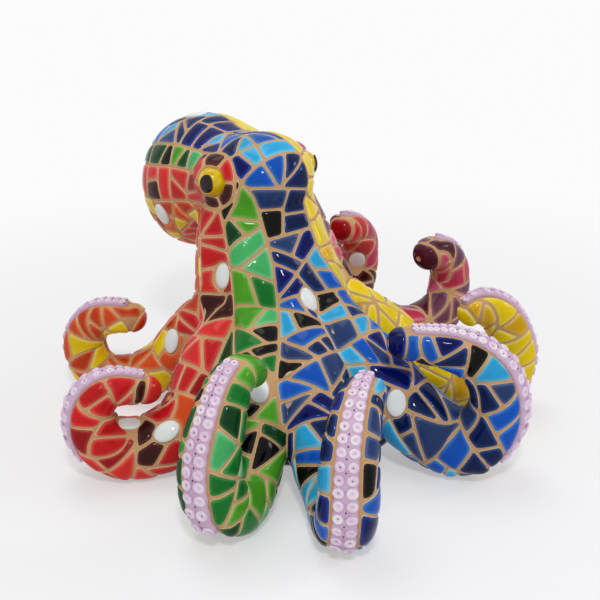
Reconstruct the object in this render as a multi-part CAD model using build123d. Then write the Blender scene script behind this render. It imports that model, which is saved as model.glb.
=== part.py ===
"""Octopus figurine: a cast body with eight bonded arms, sucker strips, eyes and oval stones.

Millimetres, +Z up. The origin is the middle of the flat base, on the surface that the
figurine stands on, and the face looks along -Y.
"""
import math
import os
from collections import namedtuple

from build123d import *

# Body casting
trunk_height = 104.0        # from the table to the middle of the head
trunk_width = 82.0          # across the foot of the trunk
trunk_depth = 88.0          # front to back at the foot of the trunk
trunk_set_back = 10.0       # how far the foot's middle lies behind the origin
trunk_lean = 32.0           # how far the head lies behind the foot's middle
head_reach = 95.0           # from the brow to the end of the mantle
head_width = 52.0           # across the mantle
head_depth = 59.0           # mantle, top to bottom
mantle_drop = 11.5          # how much lower than the head the mantle hangs

# Arms
arm_run = 60.0              # from the side of the trunk to the outside of a curl
arm_rise = 60.0             # height of the tallest curls
arm_girth = 15.5            # radius of an arm where it leaves the trunk
sole_clearance = 0.2        # the arms clear the table by this, so that the base carries
peg_radius = 4.5
peg_length = 9.0
peg_clearance = 0.2
glue_line = 0.1             # bond between two glued faces
overrun = 1.0               # how far a cutter or a buried end runs past a face
section_pitch = 7.3         # spacing of the arm's sections before its strip

# Sucker strips
strip_thickness = 1.1
strip_bond = 0.55           # grout between the strip and its seat
# Sizes on an arm of full girth; they shrink with the arm towards its tip.
strip_width = 16.0
sucker_pitch = 7.3          # along the strip
sucker_gauge = 7.8          # between the two rows
sucker_radius = 3.5
sucker_height = 1.7
sucker_dimple = 1.1
sucker_sink = 0.4           # how far a sucker is moulded into its strip
sucker_sides = 6

# Eyes
eye_spread = 45.4           # between the middles of the two eyeballs
eye_set_back = 40.0         # behind the origin
eye_lift = 2.0              # above the middle of the head
eyeball_radius = 6.0
eye_mound_radius = 10.5
eye_bulge = 6.6             # from the middle of the mound to the middle of the eyeball
eye_clearance = 0.15
gaze_turn = 30.0            # degrees that each eye looks forward of straight out
pupil_width = 5.6
pupil_height = 7.6
pupil_thickness = 0.7

# Oval stones
stone_length = 9.0
stone_width = 6.4
stone_dome = 1.4            # crown above the skin
stone_sink = 1.2            # depth of its pocket
stone_clearance = 0.15
stone_sides = 12

# Shares of the sizes above. Trunk sections from the table up: height, lean, half width,
# half depth, and how far a lobe above an arm root stands out.
TRUNK_SHARES = [
    (0.00, 0.00, 0.88, 0.86, 0.02),
    (0.07, 0.00, 0.97, 0.96, 0.03),
    (0.20, 0.10, 1.00, 1.00, 0.05),
    (0.34, 0.28, 0.92, 0.93, 0.06),
    (0.48, 0.48, 0.83, 0.82, 0.06),
    (0.63, 0.68, 0.75, 0.71, 0.05),
    (0.78, 0.86, 0.67, 0.61, 0.04),
    (0.90, 0.96, 0.58, 0.53, 0.02),
    (1.00, 1.00, 0.48, 0.44, 0.00),
]
# Bearings of the lobes, which lead up the trunk from the arm roots, in degrees.
LOBE_BEARINGS = [-178, -147, -112, -66, -24, 8, 48, 134]
# Head and mantle sections from the brow back: reach, drop, half width, half depth.
HEAD_SHARES = [
    (0.00, -0.10, 0.20, 0.16),
    (0.04, -0.06, 0.50, 0.38),
    (0.12, 0.00, 0.74, 0.56),
    (0.26, 0.05, 0.87, 0.69),
    (0.42, 0.25, 0.88, 0.77),
    (0.58, 0.65, 0.96, 0.93),
    (0.74, 1.00, 1.00, 1.00),
    (0.87, 1.05, 0.84, 0.84),
    (0.96, 1.00, 0.52, 0.52),
    (1.00, 1.00, 0.22, 0.22),
]
head_front_share = 0.26     # where the middle of the head lies between brow and mantle end
mantle_share = 0.74         # where the mantle is widest, measured the same way

# Arm routes: bearing about the trunk's foot in degrees, distance past the trunk's side as
# a share of the run, height as a share of the rise, and radius as a share of the girth.
# The first point is buried in the trunk, and the third is the joint face.
ARM_SHARES = {
    "rear_left_arm": [
        (114, -0.08, 0.92, 0.50), (119, 0.14, 0.58, 0.84), (122, 0.41, 0.28, 0.76),
        (124, 0.71, 0.14, 0.67), (125, 0.96, 0.18, 0.62), (125, 1.06, 0.41, 0.58),
        (125, 0.93, 0.62, 0.52), (124, 0.70, 0.66, 0.46), (123, 0.56, 0.60, 0.43)],
    "left_arm": [
        (150, -0.18, 0.88, 0.56), (172, 0.00, 0.58, 0.92), (-180, 0.23, 0.33, 0.85),
        (177, 0.47, 0.20, 0.80), (173, 0.70, 0.18, 0.77), (171, 0.86, 0.32, 0.70),
        (171, 0.87, 0.53, 0.60), (172, 0.76, 0.64, 0.49), (174, 0.58, 0.62, 0.41),
        (176, 0.42, 0.56, 0.32)],
    "front_outer_left_arm": [
        (180, -0.34, 0.92, 0.56), (-153, -0.04, 0.58, 0.98), (-146, 0.32, 0.32, 0.85),
        (-144, 0.66, 0.16, 0.75), (-146, 0.87, 0.27, 0.73), (-147, 0.88, 0.55, 0.67),
        (-146, 0.79, 0.80, 0.58), (-145, 0.65, 0.96, 0.47), (-143, 0.50, 0.98, 0.36),
        (-141, 0.42, 0.87, 0.29)],
    "front_inner_left_arm": [
        (-138, -0.50, 0.92, 0.56), (-121, -0.18, 0.60, 0.98), (-119, 0.28, 0.32, 0.82),
        (-118, 0.58, 0.17, 0.69), (-118, 0.86, 0.15, 0.66), (-118, 0.99, 0.36, 0.65),
        (-117.5, 0.95, 0.65, 0.61), (-115, 0.81, 0.86, 0.53), (-111, 0.67, 0.92, 0.42),
        (-108, 0.62, 0.80, 0.32)],
    "front_inner_right_arm": [
        (-45, -0.50, 0.92, 0.56), (-72, -0.24, 0.65, 0.98), (-73, 0.24, 0.34, 0.92),
        (-70, 0.46, 0.22, 0.88), (-68, 0.63, 0.21, 0.85), (-66, 0.78, 0.45, 0.76),
        (-67, 0.74, 0.73, 0.67), (-70, 0.56, 0.88, 0.57), (-77, 0.34, 0.93, 0.45),
        (-88, 0.18, 0.95, 0.33)],
    "front_outer_right_arm": [
        (9, -0.28, 0.90, 0.56), (-12, -0.06, 0.60, 0.86), (-23, 0.24, 0.33, 0.80),
        (-27, 0.55, 0.16, 0.73), (-27, 0.80, 0.18, 0.70), (-27, 0.90, 0.44, 0.65),
        (-27, 0.80, 0.72, 0.57), (-28, 0.62, 0.84, 0.48), (-30, 0.46, 0.76, 0.34)],
    "right_arm": [
        (28, -0.14, 0.82, 0.50), (10, 0.06, 0.58, 0.77), (3, 0.28, 0.46, 0.71),
        (2, 0.55, 0.46, 0.65), (2, 0.75, 0.56, 0.60), (3, 0.83, 0.77, 0.55),
        (2, 0.75, 0.95, 0.52), (1, 0.60, 1.05, 0.47), (0, 0.42, 1.02, 0.43)],
    "rear_right_arm": [
        (60, -0.06, 0.86, 0.50), (46, 0.15, 0.62, 0.78), (39, 0.38, 0.50, 0.74),
        (36, 0.61, 0.55, 0.70), (35, 0.74, 0.77, 0.65), (34, 0.66, 1.00, 0.58),
        (35, 0.46, 1.14, 0.48), (36, 0.28, 1.18, 0.40)],
}
# Bearing that the suckers of a curl face, in degrees.
STRIP_FACING = {
    "rear_left_arm": 128, "left_arm": 165, "front_outer_left_arm": -158,
    "front_inner_left_arm": -136, "front_inner_right_arm": -62,
    "front_outer_right_arm": -34, "right_arm": 4, "rear_right_arm": 33,
}
joint_point = 2             # which point of a route is the joint face
root_spans = 4              # spans between the sections of a root, up to its joint face

# A section of an arm: a round back and a flat seat for the strip, as shares of its radius.
back_arcs = 3
turns_tried = 12            # places round the back at which its height over the table is tried
seat_depth_share = 0.76
strip_end_share = 0.7       # how far the strip stops short of the tip
tip_back_shares = (0.62, 0.28, 0.06)    # sections of the rounded tip, back from its end
stone_dome_shares = ((0.45, 0.88), (0.82, 0.58), (1.0, 0.18))    # height and width of its crown
# Lip, mouth and pit of a sucker, as shares of its radius.
sucker_lip_share = 0.86
sucker_mouth_share = 0.52
sucker_pit_share = 0.25

# Oval stones on the trunk and roots: height as a share of the trunk's, and bearing in degrees.
TRUNK_STONES = [(0.67, -171), (0.60, -99), (0.33, 140), (0.40, -135), (0.30, -86),
                (0.62, 25), (0.36, 15), (0.42, 84)]
# On the mantle: bearing and elevation about its middle in degrees.
MANTLE_STONES = [(-132, 84), (-165, -23), (35, 15), (95, -12), (125, 48)]
# On the arms: distance from the joint as a share of the arm's length, and turn from the
# middle of the arm's back towards its left side in degrees.
ARM_STONES = [
    ("left_arm", 0.12, 46), ("left_arm", 0.32, 5), ("rear_right_arm", 0.54, -16),
    ("right_arm", 0.22, -60), ("rear_left_arm", 0.25, 60),
    ("front_outer_right_arm", 0.13, -60),
]

# Worked out once from the sizes above
brow_y = trunk_set_back + trunk_lean - head_front_share * head_reach
mantle_middle = Vector(0, brow_y + mantle_share * head_reach, trunk_height - mantle_drop)

# A place on an arm: its middle, its radius there, and three directions square to each other:
# on towards the tip, out through the seat of the strip, and to the left.
Spot = namedtuple("Spot", "middle radius along seat left")


def route_points(name):
    """The points of an arm's route: x, y, z and radius."""
    points = []
    for bearing, out, up, girth in ARM_SHARES[name]:
        distance = trunk_width / 2 + out * arm_run
        turn = math.radians(bearing)
        x = distance * math.cos(turn)
        y = trunk_set_back + distance * math.sin(turn)
        points.append((x, y, up * arm_rise, girth * arm_girth))
    return points


def smooth_through(points, place):
    """Point on the smooth curve through points; place counts them from 0."""
    span = min(int(place), len(points) - 2)
    part = place - span
    b, c = points[span], points[span + 1]
    a = points[span - 1] if span else tuple(2 * p - q for p, q in zip(b, c))
    if span + 2 < len(points):
        d = points[span + 2]
    else:
        d = tuple(2 * q - p for p, q in zip(b, c))
    return tuple(
        q + part / 2 * (r - p + part * (2 * p - 5 * q + 4 * r - s + part * (3 * (q - r) + s - p)))
        for p, q, r, s in zip(a, b, c, d))


class Arm:
    """The route of one arm, with the spot at any distance from its joint face."""

    samples_per_span = 20
    nudge = 0.01

    def __init__(self, name):
        self.points = route_points(name)
        facing = math.radians(STRIP_FACING[name])
        self.left = Vector(-math.sin(facing), math.cos(facing), 0)
        self.lengths = [(0.0, float(joint_point))]
        count = (len(self.points) - 1 - joint_point) * self.samples_per_span
        before = Vector(*self.points[joint_point][:3])
        for step in range(1, count + 1):
            place = joint_point + step / self.samples_per_span
            here = Vector(*smooth_through(self.points, place)[:3])
            self.lengths.append((self.lengths[-1][0] + (here - before).length, place))
            before = here
        self.length = self.lengths[-1][0]

    def place_at(self, distance):
        """Place on the route at a distance from the joint face."""
        for (low, start), (high, end) in zip(self.lengths, self.lengths[1:]):
            if distance <= high:
                return start + (end - start) * (distance - low) / (high - low)
        return self.lengths[-1][1]

    def at(self, distance):
        """Spot at a distance from the joint face."""
        return self.spot(self.place_at(distance))

    def spot(self, place, scale=1.0):
        """Spot at a place on the route, with its radius scaled, and clear of the table."""
        last = len(self.points) - 1
        x, y, z, radius = smooth_through(self.points, place)
        ahead = Vector(*smooth_through(self.points, min(place + self.nudge, last))[:3])
        behind = Vector(*smooth_through(self.points, max(place - self.nudge, 0))[:3])
        along = (ahead - behind).normalized()
        seat = self.left.cross(along).normalized()
        left = along.cross(seat)
        radius *= scale
        drop = min(math.cos(turn) * seat.Z + math.sin(turn) * left.Z
                   for turn in back_turns(turns_tried))
        lift = max(0.0, sole_clearance - z - drop * radius)
        return Spot(Vector(x, y, z + lift), radius, along, seat, left)


def back_turns(count):
    """Angles round the back of a section, from one edge of the seat to the other."""
    start = math.acos(seat_depth_share)
    step = 2 * (math.pi - start) / count
    return [start + step * index for index in range(count + 1)]


def section(spot):
    """Outline of an arm: a round back in equal arcs, and the flat seat."""
    rim = [spot.middle + (spot.seat * math.cos(turn) + spot.left * math.sin(turn)) * spot.radius
           for turn in back_turns(2 * back_arcs)]
    edges = [Edge.make_three_point_arc(*rim[2 * index:2 * index + 3]) for index in range(back_arcs)]
    edges.append(Edge.make_line(rim[-1], rim[0]))
    return Wire(edges)


def arm_root(arm):
    """The part of an arm that belongs to the body casting, up to the joint face."""
    places = [joint_point * index / root_spans for index in range(root_spans + 1)]
    return Solid.make_loft([section(arm.spot(place)) for place in places])


def peg(arm, clearance=0.0):
    """The peg at an arm's joint face, or with a clearance its socket."""
    joint = arm.spot(float(joint_point))
    start = Plane(origin=joint.middle + joint.along * overrun, z_dir=joint.along * -1)
    return Solid.make_cylinder(peg_radius + clearance, peg_length + clearance + overrun, start)


def make_arm(arm):
    """An arm from its joint face to its rounded tip, with its peg.

    Its sections lie where its strip's do, so the grout under the strip is even all along.
    """
    joint = arm.at(0.0)
    wires = [section(joint._replace(middle=joint.middle + joint.along * glue_line))]
    strip = strip_stops(arm)[::-1]
    lead = max(1, round(strip[0] / section_pitch))
    stops = [strip[0] * index / lead for index in range(1, lead)] + strip
    tip_radius = arm.points[-1][3]
    wires += [section(arm.at(distance)) for distance in stops + [arm.length - tip_radius]]
    for back in tip_back_shares:
        place = arm.place_at(arm.length - back * tip_radius)
        wires.append(section(arm.spot(place, math.sqrt(back * (2 - back)))))
    return Solid.make_loft(wires, ruled=True).fuse(peg(arm))


def strip_stops(arm):
    """Distances along an arm, from the tip back, of the joints between pairs of suckers."""
    stops = []
    distance = arm.length - arm.points[-1][3] * (1 + strip_end_share)
    while distance > 0:
        spot = arm.at(distance)
        size = spot.radius / arm_girth
        depth = spot.radius * seat_depth_share + strip_bond + strip_thickness + sucker_height * size
        lowest = (spot.middle + spot.seat * depth).Z - abs(spot.left.Z) * strip_width / 2 * size
        if lowest < sole_clearance:
            break
        stops.append(distance)
        distance -= sucker_pitch * size
    return stops


def strip_ring(arm, distance):
    """Rectangle across a sucker strip."""
    spot = arm.at(distance)
    inner = spot.radius * seat_depth_share + strip_bond
    half = strip_width / 2 * spot.radius / arm_girth
    corners = [(inner, -half), (inner, half),
               (inner + strip_thickness, half), (inner + strip_thickness, -half)]
    return [spot.middle + spot.seat * depth + spot.left * across for depth, across in corners]


def make_strip(arm):
    """A strip with two rows of suckers."""
    cup = make_sucker()
    rings = [strip_ring(arm, distance) for distance in strip_stops(arm)]
    strip = Solid.make_loft([Wire.make_polygon(ring) for ring in rings], ruled=True)
    suckers = []
    for before, after in zip(rings, rings[1:]):
        near = (before[2] + after[2]) * 0.5
        far = (before[3] + after[3]) * 0.5
        across = far - near
        along = (after[2] + after[3] - before[2] - before[3]) * 0.5
        size = across.length / strip_width
        for row in (-1, 1):
            foot = (near + far + across.normalized() * (row * sucker_gauge * size)) * 0.5
            plane = Plane(origin=foot, x_dir=across, z_dir=across.cross(along))
            suckers.append(scale(cup, size).moved(plane.location))
    return strip.fuse(*suckers)


def make_sucker():
    """A many-sided cup with a dimple in its top, as on an arm of full girth."""
    def ring(height, share):
        return Plane.XY.offset(height) * RegularPolygon(sucker_radius * share, sucker_sides)
    cup = loft([ring(-sucker_sink, 1), ring(sucker_height, sucker_lip_share)])
    depth = sucker_height - sucker_dimple
    return cup - loft([ring(depth, sucker_pit_share), ring(sucker_height, sucker_mouth_share)])


def lobe_outline(height, lean, width, depth, lobe):
    """Outline of the trunk: an oval with a lobe above each arm root."""
    half_x = width * trunk_width / 2
    half_y = depth * trunk_depth / 2
    centre_y = trunk_set_back + lean * trunk_lean
    points = []
    for index, bearing in enumerate(LOBE_BEARINGS):
        following = LOBE_BEARINGS[(index + 1) % len(LOBE_BEARINGS)]
        gap = (following - bearing) % 360
        for turn, swell in ((bearing, 1 + lobe), (bearing + gap / 2, 1 - lobe)):
            angle = math.radians(turn)
            reach = swell * half_x * half_y / math.hypot(
                half_y * math.cos(angle), half_x * math.sin(angle))
            points.append((reach * math.cos(angle), centre_y + reach * math.sin(angle),
                           height * trunk_height))
    return Wire([Edge.make_spline(points, periodic=True)])


def make_trunk():
    """The trunk, with a lobe leading up it from each arm root."""
    return Solid.make_loft([lobe_outline(*row) for row in TRUNK_SHARES])


def make_head():
    """Head and mantle in one, from the brow to the end of the mantle."""
    wires = []
    for reach, drop, width, depth in HEAD_SHARES:
        middle = Vector(0, brow_y + reach * head_reach, trunk_height - drop * mantle_drop)
        plane = Plane(origin=middle, x_dir=(1, 0, 0), z_dir=(0, 1, 0))
        wires.append((plane * Ellipse(width * head_width / 2, depth * head_depth / 2)).wire())
    return Solid.make_loft(wires)


def eye_middle(side):
    """Middle of an eyeball; side is -1 for the left eye and 1 for the right."""
    return Vector(side * eye_spread / 2, eye_set_back, trunk_height + eye_lift)


def eye_gaze(side):
    """Direction in which an eye looks: outwards and a little forwards."""
    return Vector(side * math.cos(math.radians(gaze_turn)), -math.sin(math.radians(gaze_turn)), 0)


def eye_mound(side):
    """The raised mound that carries an eyeball."""
    return Sphere(eye_mound_radius).moved(Location(eye_middle(side) - eye_gaze(side) * eye_bulge))


def eyeball(side, clearance=0.0):
    """A domed eye, or with a clearance the cup that it is bonded in."""
    plane = Plane(origin=eye_middle(side), z_dir=eye_gaze(side))
    return Sphere(eyeball_radius + clearance).moved(plane.location)


def pupil(side):
    """An oval pupil: a thin cap that follows the eyeball."""
    gaze = eye_gaze(side)
    plane = Plane(origin=eye_middle(side), x_dir=gaze.cross(Vector(0, 0, 1)), z_dir=gaze)
    outline = plane * Ellipse(pupil_width / 2, pupil_height / 2)
    post = extrude(outline, eyeball_radius + overrun)
    shell = Sphere(eyeball_radius + pupil_thickness) - Sphere(eyeball_radius + glue_line)
    return post & shell.moved(Location(eye_middle(side)))


def make_stone():
    """A domed oval with a flat back, its girdle level with the skin at the origin."""
    levels = [(-stone_sink, 1.0), (0.0, 1.0)]
    levels += [(stone_dome * height, width) for height, width in stone_dome_shares]
    turns = [2 * math.pi * index / stone_sides for index in range(stone_sides)]
    rings = []
    for level, width in levels:
        points = [(width * stone_length / 2 * math.cos(turn),
                   width * stone_width / 2 * math.sin(turn), level) for turn in turns]
        rings.append(Wire.make_polygon(points))
    return Solid.make_loft(rings, ruled=True)


def stone_pocket(plane):
    """The shallow pocket for a stone that stands on a plane."""
    depth = stone_sink + glue_line
    outline = Ellipse(stone_length / 2 + stone_clearance, stone_width / 2 + stone_clearance)
    return plane.offset(-depth) * extrude(outline, depth + stone_length / 2)


def skin_plane(solid, start, direction):
    """Plane on the skin of a solid where a line from inside it comes out."""
    hits = solid.find_intersection_points(Axis(start, direction))
    skin = [point for point, normal in hits if (point - start).dot(direction) > 0]
    point = max(skin, key=lambda hit: (hit - start).dot(direction))
    normal = [normal for hit, normal in hits if hit == point][0]
    if normal.dot(direction) < 0:
        normal = normal * -1
    upright = normal.cross(Vector(0, 0, 1)).cross(normal)
    return Plane(origin=point, x_dir=upright, z_dir=normal)


def body_stones(body):
    """Planes on the body's skin for its oval stones."""
    planes = []
    for share, bearing in TRUNK_STONES:
        start = Vector(0, trunk_set_back + share * trunk_lean, share * trunk_height)
        planes.append(skin_plane(body, start, Vector(1, 0, 0).rotate(Axis.Z, bearing)))
    for bearing, elevation in MANTLE_STONES:
        aim = Vector(1, 0, 0).rotate(Axis.Y, -elevation).rotate(Axis.Z, bearing)
        planes.append(skin_plane(body, mantle_middle, aim))
    return planes


def arm_stones(arm, name):
    """Planes on an arm's skin for its oval stones."""
    planes = []
    for owner, share, turn in ARM_STONES:
        if owner == name:
            spot = arm.at(share * arm.length)
            angle = math.radians(turn)
            outward = spot.left * math.sin(angle) - spot.seat * math.cos(angle)
            planes.append(Plane(origin=spot.middle + outward * spot.radius, x_dir=spot.along,
                                z_dir=outward))
    return planes


def make_body(arms):
    """The body casting without its pockets: trunk, head, eye mounds and arm roots."""
    solids = [make_head()] + [eye_mound(side) for side in (-1, 1)]
    solids += [arm_root(arm) for arm in arms.values()]
    return make_trunk().fuse(*solids)


os.makedirs("parts", exist_ok=True)
arms = {name: Arm(name) for name in ARM_SHARES}
stone_planes = []
for name, arm in arms.items():
    planes = arm_stones(arm, name)
    solid = make_arm(arm)
    for plane in planes:
        solid = solid.cut(stone_pocket(plane))
    stone_planes += planes
    export_step(solid, f"parts/{name}.step")
    export_step(make_strip(arm), f"parts/{name}_sucker_strip.step")

body = make_body(arms)
planes = body_stones(body)
for side in (-1, 1):
    body = body.cut(eyeball(side, eye_clearance))
body = body.cut(*[peg(arm, peg_clearance) for arm in arms.values()])
for plane in planes:
    body = body.cut(stone_pocket(plane))
export_step(body, "parts/body_casting.step")

stone = make_stone()
stones = [stone.moved(plane.location) for plane in stone_planes + planes]
export_step(Compound(stones), "parts/oval_stones.step")
for word, side in (("left", -1), ("right", 1)):
    export_step(eyeball(side), f"parts/{word}_eyeball.step")
    export_step(pupil(side), f"parts/{word}_pupil.step")
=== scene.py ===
"""Octopus figurine in glazed mosaic: grout skin, tiles, sucker strips, eyes and oval stones.

Shapes are worked out in millimetres and turned to metres as each piece is finished.
"""
import math
import random
from collections import namedtuple
from functools import partial

import bmesh
import bpy
import numpy as np
from mathutils import Matrix, Vector


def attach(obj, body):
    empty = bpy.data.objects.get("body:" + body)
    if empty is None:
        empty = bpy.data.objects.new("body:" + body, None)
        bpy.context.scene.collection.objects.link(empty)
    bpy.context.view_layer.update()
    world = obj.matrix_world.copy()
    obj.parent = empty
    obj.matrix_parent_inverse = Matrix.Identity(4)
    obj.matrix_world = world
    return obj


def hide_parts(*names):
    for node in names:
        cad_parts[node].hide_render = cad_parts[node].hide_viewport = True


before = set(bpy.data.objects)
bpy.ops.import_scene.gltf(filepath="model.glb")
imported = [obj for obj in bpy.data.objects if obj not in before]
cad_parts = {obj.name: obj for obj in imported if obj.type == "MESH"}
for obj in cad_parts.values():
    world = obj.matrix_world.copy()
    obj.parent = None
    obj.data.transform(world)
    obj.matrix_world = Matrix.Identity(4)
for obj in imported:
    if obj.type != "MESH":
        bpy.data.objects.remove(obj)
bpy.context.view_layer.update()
MM = 0.001

# Sizes of the construction that the looks follow, in millimetres
trunk_height, trunk_width = 104.0, 82.0
trunk_set_back = 10.0
arm_run, arm_rise, arm_girth = 60.0, 60.0, 15.5
sole_clearance = 0.2
strip_thickness, strip_bond, strip_width = 1.1, 0.55, 16.0
sucker_pitch, sucker_height = 7.3, 1.7
eye_spread, eye_set_back, eye_lift = 45.4, 40.0, 2.0
eyeball_radius, gaze_turn = 6.0, 30.0
seat_depth_share = 0.76
strip_end_share = 0.7
joint_point = 2

# Arm routes: bearing, distance past the trunk's side, height and radius, as shares
ARM_SHARES = {
    "rear_left_arm": [
        (114, -0.08, 0.92, 0.50), (119, 0.14, 0.58, 0.84), (122, 0.41, 0.28, 0.76),
        (124, 0.71, 0.14, 0.67), (125, 0.96, 0.18, 0.62), (125, 1.06, 0.41, 0.58),
        (125, 0.93, 0.62, 0.52), (124, 0.70, 0.66, 0.46), (123, 0.56, 0.60, 0.43)],
    "left_arm": [
        (150, -0.18, 0.88, 0.56), (172, 0.00, 0.58, 0.92), (-180, 0.23, 0.33, 0.85),
        (177, 0.47, 0.20, 0.80), (173, 0.70, 0.18, 0.77), (171, 0.86, 0.32, 0.70),
        (171, 0.87, 0.53, 0.60), (172, 0.76, 0.64, 0.49), (174, 0.58, 0.62, 0.41),
        (176, 0.42, 0.56, 0.32)],
    "front_outer_left_arm": [
        (180, -0.34, 0.92, 0.56), (-153, -0.04, 0.58, 0.98), (-146, 0.32, 0.32, 0.85),
        (-144, 0.66, 0.16, 0.75), (-146, 0.87, 0.27, 0.73), (-147, 0.88, 0.55, 0.67),
        (-146, 0.79, 0.80, 0.58), (-145, 0.65, 0.96, 0.47), (-143, 0.50, 0.98, 0.36),
        (-141, 0.42, 0.87, 0.29)],
    "front_inner_left_arm": [
        (-138, -0.50, 0.92, 0.56), (-121, -0.18, 0.60, 0.98), (-119, 0.28, 0.32, 0.82),
        (-118, 0.58, 0.17, 0.69), (-118, 0.86, 0.15, 0.66), (-118, 0.99, 0.36, 0.65),
        (-117.5, 0.95, 0.65, 0.61), (-115, 0.81, 0.86, 0.53), (-111, 0.67, 0.92, 0.42),
        (-108, 0.62, 0.80, 0.32)],
    "front_inner_right_arm": [
        (-45, -0.50, 0.92, 0.56), (-72, -0.24, 0.65, 0.98), (-73, 0.24, 0.34, 0.92),
        (-70, 0.46, 0.22, 0.88), (-68, 0.63, 0.21, 0.85), (-66, 0.78, 0.45, 0.76),
        (-67, 0.74, 0.73, 0.67), (-70, 0.56, 0.88, 0.57), (-77, 0.34, 0.93, 0.45),
        (-88, 0.18, 0.95, 0.33)],
    "front_outer_right_arm": [
        (9, -0.28, 0.90, 0.56), (-12, -0.06, 0.60, 0.86), (-23, 0.24, 0.33, 0.80),
        (-27, 0.55, 0.16, 0.73), (-27, 0.80, 0.18, 0.70), (-27, 0.90, 0.44, 0.65),
        (-27, 0.80, 0.72, 0.57), (-28, 0.62, 0.84, 0.48), (-30, 0.46, 0.76, 0.34)],
    "right_arm": [
        (28, -0.14, 0.82, 0.50), (10, 0.06, 0.58, 0.77), (3, 0.28, 0.46, 0.71),
        (2, 0.55, 0.46, 0.65), (2, 0.75, 0.56, 0.60), (3, 0.83, 0.77, 0.55),
        (2, 0.75, 0.95, 0.52), (1, 0.60, 1.05, 0.47), (0, 0.42, 1.02, 0.43)],
    "rear_right_arm": [
        (60, -0.06, 0.86, 0.50), (46, 0.15, 0.62, 0.78), (39, 0.38, 0.50, 0.74),
        (36, 0.61, 0.55, 0.70), (35, 0.74, 0.77, 0.65), (34, 0.66, 1.00, 0.58),
        (35, 0.46, 1.14, 0.48), (36, 0.28, 1.18, 0.40)],
}
STRIP_FACING = {
    "rear_left_arm": 128, "left_arm": 165, "front_outer_left_arm": -158,
    "front_inner_left_arm": -136, "front_inner_right_arm": -62,
    "front_outer_right_arm": -34, "right_arm": 4, "rear_right_arm": 33,
}

# The middle line of mantle, head and trunk in the plane of symmetry: y and z
MIDDLE_LINE = [(113, 92), (100, 92), (84, 93), (66, 96), (52, 96), (43, 87), (38, 78),
               (33, 67), (27, 54), (20, 38), (14, 22), (10, 6), (10, -8)]
# Colour zones round that line. Each row has the turn that zones are counted from, and the
# turns in degrees at which they end, at three places along the line.
ZONES = ["orange", "red", "green", "blue", "yellow", "crimson", "rose"]
MANTLE_TURNS = (270, [80, 113, 134, 190, 232, 270, 360])
NECK_TURNS = (285, [103, 130, 165, 212, 244, 295, 360])
FOOT_TURNS = (280, [71, 117, 148, 232, 270, 301, 360])
mantle_until, neck_from, neck_until, foot_from = 58.0, 74.0, 98.0, 138.0

# Tile work, in millimetres
voxel = 1.0                  # mesh of the grout skin
grout_half = 0.62            # half the width of a joint
grout_fillet = 0.42          # how softly the corners of a tile are rounded
tile_edge = 0.30             # height of a tile's edge above the grout
tile_shoulder = 0.56
tile_face = 0.70
tile_crown = 0.22            # extra height in the middle of a large tile
tile_depth = 0.7             # how deep a tile sits in the grout
smallest_tile = 10.0         # area in square millimetres
foot_line = 1.3              # no tiles lower than this
strip_margin = 1.2           # bare grout beside a strip
arm_start = -6.0             # where the arm's tiles take over from the body's
flare_ratio = 1.45           # an arm's tiles end where it flares to this many radii
shown_width = 13.6           # strip across, on an arm of full girth
shown_pitch, shown_gauge, shown_radius = 5.9, 7.0, 3.05
# How much sooner than its solid a strip ends before the tip of an arm; below nought, later
SHORT_STRIPS = {"front_outer_left_arm": 7.0, "rear_left_arm": -2.5,
                "front_outer_right_arm": -4.0, "rear_right_arm": -4.0}
eye_ring_radius = 11.6       # reach of the ring of tiles round an eye


def linear(code):
    """sRGB hex colour as linear red, green, blue and alpha."""
    parts = [int(code[index:index + 2], 16) / 255 for index in (0, 2, 4)]
    return tuple(c / 12.92 if c <= 0.04045 else ((c + 0.055) / 1.055) ** 2.4
                 for c in parts) + (1.0,)


def route_points(name):
    """The points of an arm's route: x, y, z and radius."""
    points = []
    for bearing, out, up, girth in ARM_SHARES[name]:
        distance = trunk_width / 2 + out * arm_run
        turn = math.radians(bearing)
        points.append((distance * math.cos(turn), trunk_set_back + distance * math.sin(turn),
                       up * arm_rise, girth * arm_girth))
    return points


def smooth_through(points, place):
    """Point on the smooth curve through points; place counts them from 0."""
    span = min(int(place), len(points) - 2)
    part = place - span
    b, c = points[span], points[span + 1]
    a = points[span - 1] if span else tuple(2 * p - q for p, q in zip(b, c))
    if span + 2 < len(points):
        d = points[span + 2]
    else:
        d = tuple(2 * q - p for p, q in zip(b, c))
    return tuple(
        q + part / 2 * (r - p + part * (2 * p - 5 * q + 4 * r - s + part * (3 * (q - r) + s - p)))
        for p, q, r, s in zip(a, b, c, d))


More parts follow.
